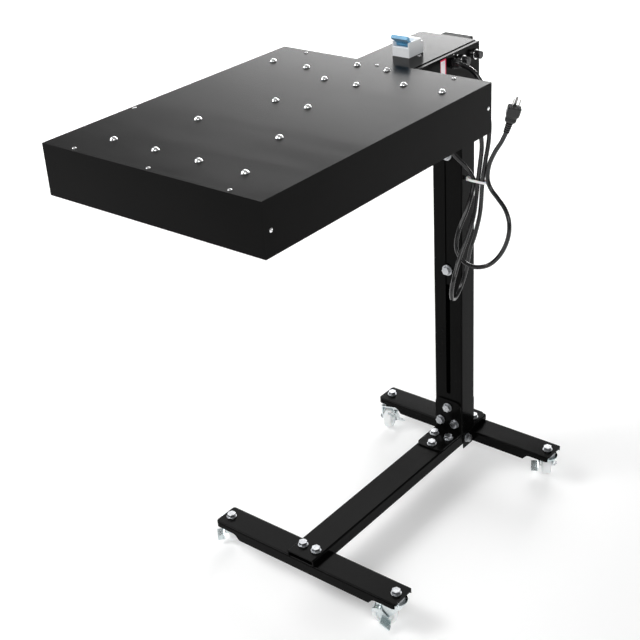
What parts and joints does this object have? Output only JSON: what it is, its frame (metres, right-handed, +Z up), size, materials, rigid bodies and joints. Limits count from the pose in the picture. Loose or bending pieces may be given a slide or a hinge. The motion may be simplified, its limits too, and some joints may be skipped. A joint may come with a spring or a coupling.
{
  "type": "flash dryer",
  "caption": "Screen-printing flash dryer: flat heater head with control box on a height-adjustable post, H-shaped caster base, breaker switch and hanging mains cord.",
  "frame": {"origin": "on the floor, under the middle of the base, midway between the two foot bars", "axes": "+Z up along the post; -Y towards the free end of the heater head; +X to the side that carries the knobs and the cord"},
  "size_m": [0.4909, 0.9271, 1.0333],
  "materials": {
    "black_paint": "satin powder coat",
    "zinc": "bright zinc plate",
    "nylon": "satin moulded",
    "black_plastic": "moulded",
    "white_plastic": "moulded",
    "blue_plastic": "moulded",
    "grey_plastic": "moulded",
    "label": "blank film",
    "board": "fibrous ceramic board",
    "bright_aluminium": "polished sheet",
    "heater": "ceramic tube",
    "brass": "bright",
    "cord_rubber": "glossy jacket"
  },
  "bodies": {
    "stand": {"foot_bar_front": "black_paint", "foot_bar_rear": "black_paint", "base_beam": "black_paint", "lower_post": "black_paint", "bracket_front": "black_paint", "bracket_rear": "black_paint", "base_bolts": "zinc", "base_washers": "zinc", "base_nuts": "zinc", "caster_bolts": "zinc", "caster_races": "zinc", "caster_nuts": "zinc"},
    "mast": {"inner_post": "black_paint", "post_cap": "black_plastic", "clamp_bolts": "zinc", "clamp_washers": "zinc", "box_body": "black_paint", "box_lid": "black_paint", "box_screws": "zinc", "box_bolts": "zinc", "breaker_body": "white_plastic", "cable_gland": "black_plastic", "blank_label": "label", "knob_bezels": "zinc", "control_pots": "grey_plastic", "power_regulator": "bright_aluminium", "terminal_block": "white_plastic", "head_shell": "black_paint", "head_lid": "black_paint", "head_screws": "zinc", "dome_fasteners": "zinc", "insulation_board": "board", "reflector": "bright_aluminium", "heater_rails": "zinc", "heater_tubes": "heater", "wire_guard": "zinc", "power_cord": "cord_rubber", "cable_tie": "nylon", "plug_body": "black_plastic", "plug_prongs": "brass"},
    "breaker_lever": {"breaker_lever": "blue_plastic"},
    "knob_front": {"knob_front": "black_plastic"},
    "knob_rear": {"knob_rear": "black_plastic"},
    "fork_front_left": {"fork_front_left": "zinc", "axle_front_left": "zinc"},
    "wheel_front_left": {"wheel_front_left": "nylon"},
    "pedal_front_left": {"pedal_front_left": "zinc"},
    "fork_front_right": {"fork_front_right": "zinc", "axle_front_right": "zinc"},
    "wheel_front_right": {"wheel_front_right": "nylon"},
    "pedal_front_right": {"pedal_front_right": "zinc"},
    "fork_rear_left": {"fork_rear_left": "zinc", "axle_rear_left": "zinc"},
    "wheel_rear_left": {"wheel_rear_left": "nylon"},
    "pedal_rear_left": {"pedal_rear_left": "zinc"},
    "fork_rear_right": {"fork_rear_right": "zinc", "axle_rear_right": "zinc"},
    "wheel_rear_right": {"wheel_rear_right": "nylon"},
    "pedal_rear_right": {"pedal_rear_right": "zinc"}
  },
  "joints": [
    {"name": "post_height", "type": "slide", "parent": "stand", "child": "mast", "axis": [0, 0, 1], "range_m": [-0.06, 0.065]},
    {"name": "breaker_toggle", "type": "hinge", "parent": "mast", "child": "breaker_lever", "pos_m": [0, 0.08, 1.014], "axis": [1, 0, 0], "range_deg": [-90, 0]},
    {"name": "knob_front_turn", "type": "hinge", "parent": "mast", "child": "knob_front", "pos_m": [0.069, 0.165, 0.9705], "axis": [1, 0, 0], "range_deg": [-140, 140]},
    {"name": "knob_rear_turn", "type": "hinge", "parent": "mast", "child": "knob_rear", "pos_m": [0.069, 0.2085, 0.9705], "axis": [1, 0, 0], "range_deg": [-140, 140]},
    {"name": "swivel_front_left", "type": "hinge", "parent": "stand", "child": "fork_front_left", "pos_m": [-0.211, -0.289, 0.058], "axis": [0, 0, 1], "continuous": true},
    {"name": "roll_front_left", "type": "hinge", "parent": "fork_front_left", "child": "wheel_front_left", "pos_m": [-0.22656, -0.27344, 0.025], "axis": [-0.7071, -0.7071, 0], "continuous": true},
    {"name": "brake_front_left", "type": "hinge", "parent": "fork_front_left", "child": "pedal_front_left", "pos_m": [-0.23292, -0.26708, 0.046], "axis": [-0.7071, -0.7071, 0], "range_deg": [0, 10]},
    {"name": "swivel_front_right", "type": "hinge", "parent": "stand", "child": "fork_front_right", "pos_m": [0.211, -0.289, 0.058], "axis": [0, 0, 1], "continuous": true},
    {"name": "roll_front_right", "type": "hinge", "parent": "fork_front_right", "child": "wheel_front_right", "pos_m": [0.19106, -0.2983, 0.025], "axis": [0.4226, -0.9063, 0], "continuous": true},
    {"name": "brake_front_right", "type": "hinge", "parent": "fork_front_right", "child": "pedal_front_right", "pos_m": [0.1829, -0.3021, 0.046], "axis": [0.4226, -0.9063, 0], "range_deg": [0, 10]},
    {"name": "swivel_rear_left", "type": "hinge", "parent": "stand", "child": "fork_rear_left", "pos_m": [-0.211, 0.289, 0.058], "axis": [0, 0, 1], "continuous": true},
    {"name": "roll_rear_left", "type": "hinge", "parent": "fork_rear_left", "child": "wheel_rear_left", "pos_m": [-0.2042, 0.26808, 0.025], "axis": [0.9511, 0.309, 0], "continuous": true},
    {"name": "brake_rear_left", "type": "hinge", "parent": "fork_rear_left", "child": "pedal_rear_left", "pos_m": [-0.20142, 0.25952, 0.046], "axis": [0.9511, 0.309, 0], "range_deg": [0, 10]},
    {"name": "swivel_rear_right", "type": "hinge", "parent": "stand", "child": "fork_rear_right", "pos_m": [0.211, 0.289, 0.058], "axis": [0, 0, 1], "continuous": true},
    {"name": "roll_rear_right", "type": "hinge", "parent": "fork_rear_right", "child": "wheel_rear_right", "pos_m": [0.19934, 0.30766, 0.025], "axis": [-0.848, -0.5299, 0], "continuous": true},
    {"name": "brake_rear_right", "type": "hinge", "parent": "fork_rear_right", "child": "pedal_rear_right", "pos_m": [0.19457, 0.31529, 0.046], "axis": [-0.848, -0.5299, 0], "range_deg": [0, 10]}
  ]
}
